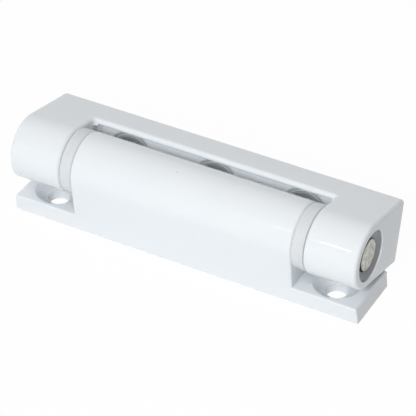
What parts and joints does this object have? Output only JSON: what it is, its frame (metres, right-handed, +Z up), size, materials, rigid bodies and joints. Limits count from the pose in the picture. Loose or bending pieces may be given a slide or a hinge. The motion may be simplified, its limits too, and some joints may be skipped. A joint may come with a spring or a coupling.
{
  "type": "door hinge",
  "caption": "Door hinge with a drilled base plate, a long middle barrel and a deep pocketed leaf that turns round it on a hidden pin in flanged bushes.",
  "frame": {"origin": "on the mounting face of the frame leaf, midway between its two screw holes and straight under the pin", "axes": "+X along the pin, +Y towards the sash side at the back, +Z up away from the frame leaf's mounting face"},
  "size_m": [0.0906, 0.0253, 0.0234],
  "materials": {
    "white_powder_coat": "gloss white powder coat",
    "white_nylon": "natural nylon",
    "grey_polymer": "satin grey",
    "bare_steel": "turned and sawn steel"
  },
  "bodies": {
    "frame": {"frame_leaf": "white_powder_coat", "flanged_bush_left": "white_nylon", "flanged_bush_right": "white_nylon"},
    "sash": {"sash_leaf": "white_powder_coat", "hinge_pin": "bare_steel", "end_bush_left": "grey_polymer", "end_bush_right": "grey_polymer", "screw_seat_left": "bare_steel", "screw_seat_middle": "bare_steel", "screw_seat_right": "bare_steel"}
  },
  "joints": [
    {"name": "hinge_turn", "type": "hinge", "parent": "frame", "child": "sash", "pos_m": [0, 0, 0.0154], "axis": [1, 0, 0], "range_deg": [0, 190]}
  ]
}
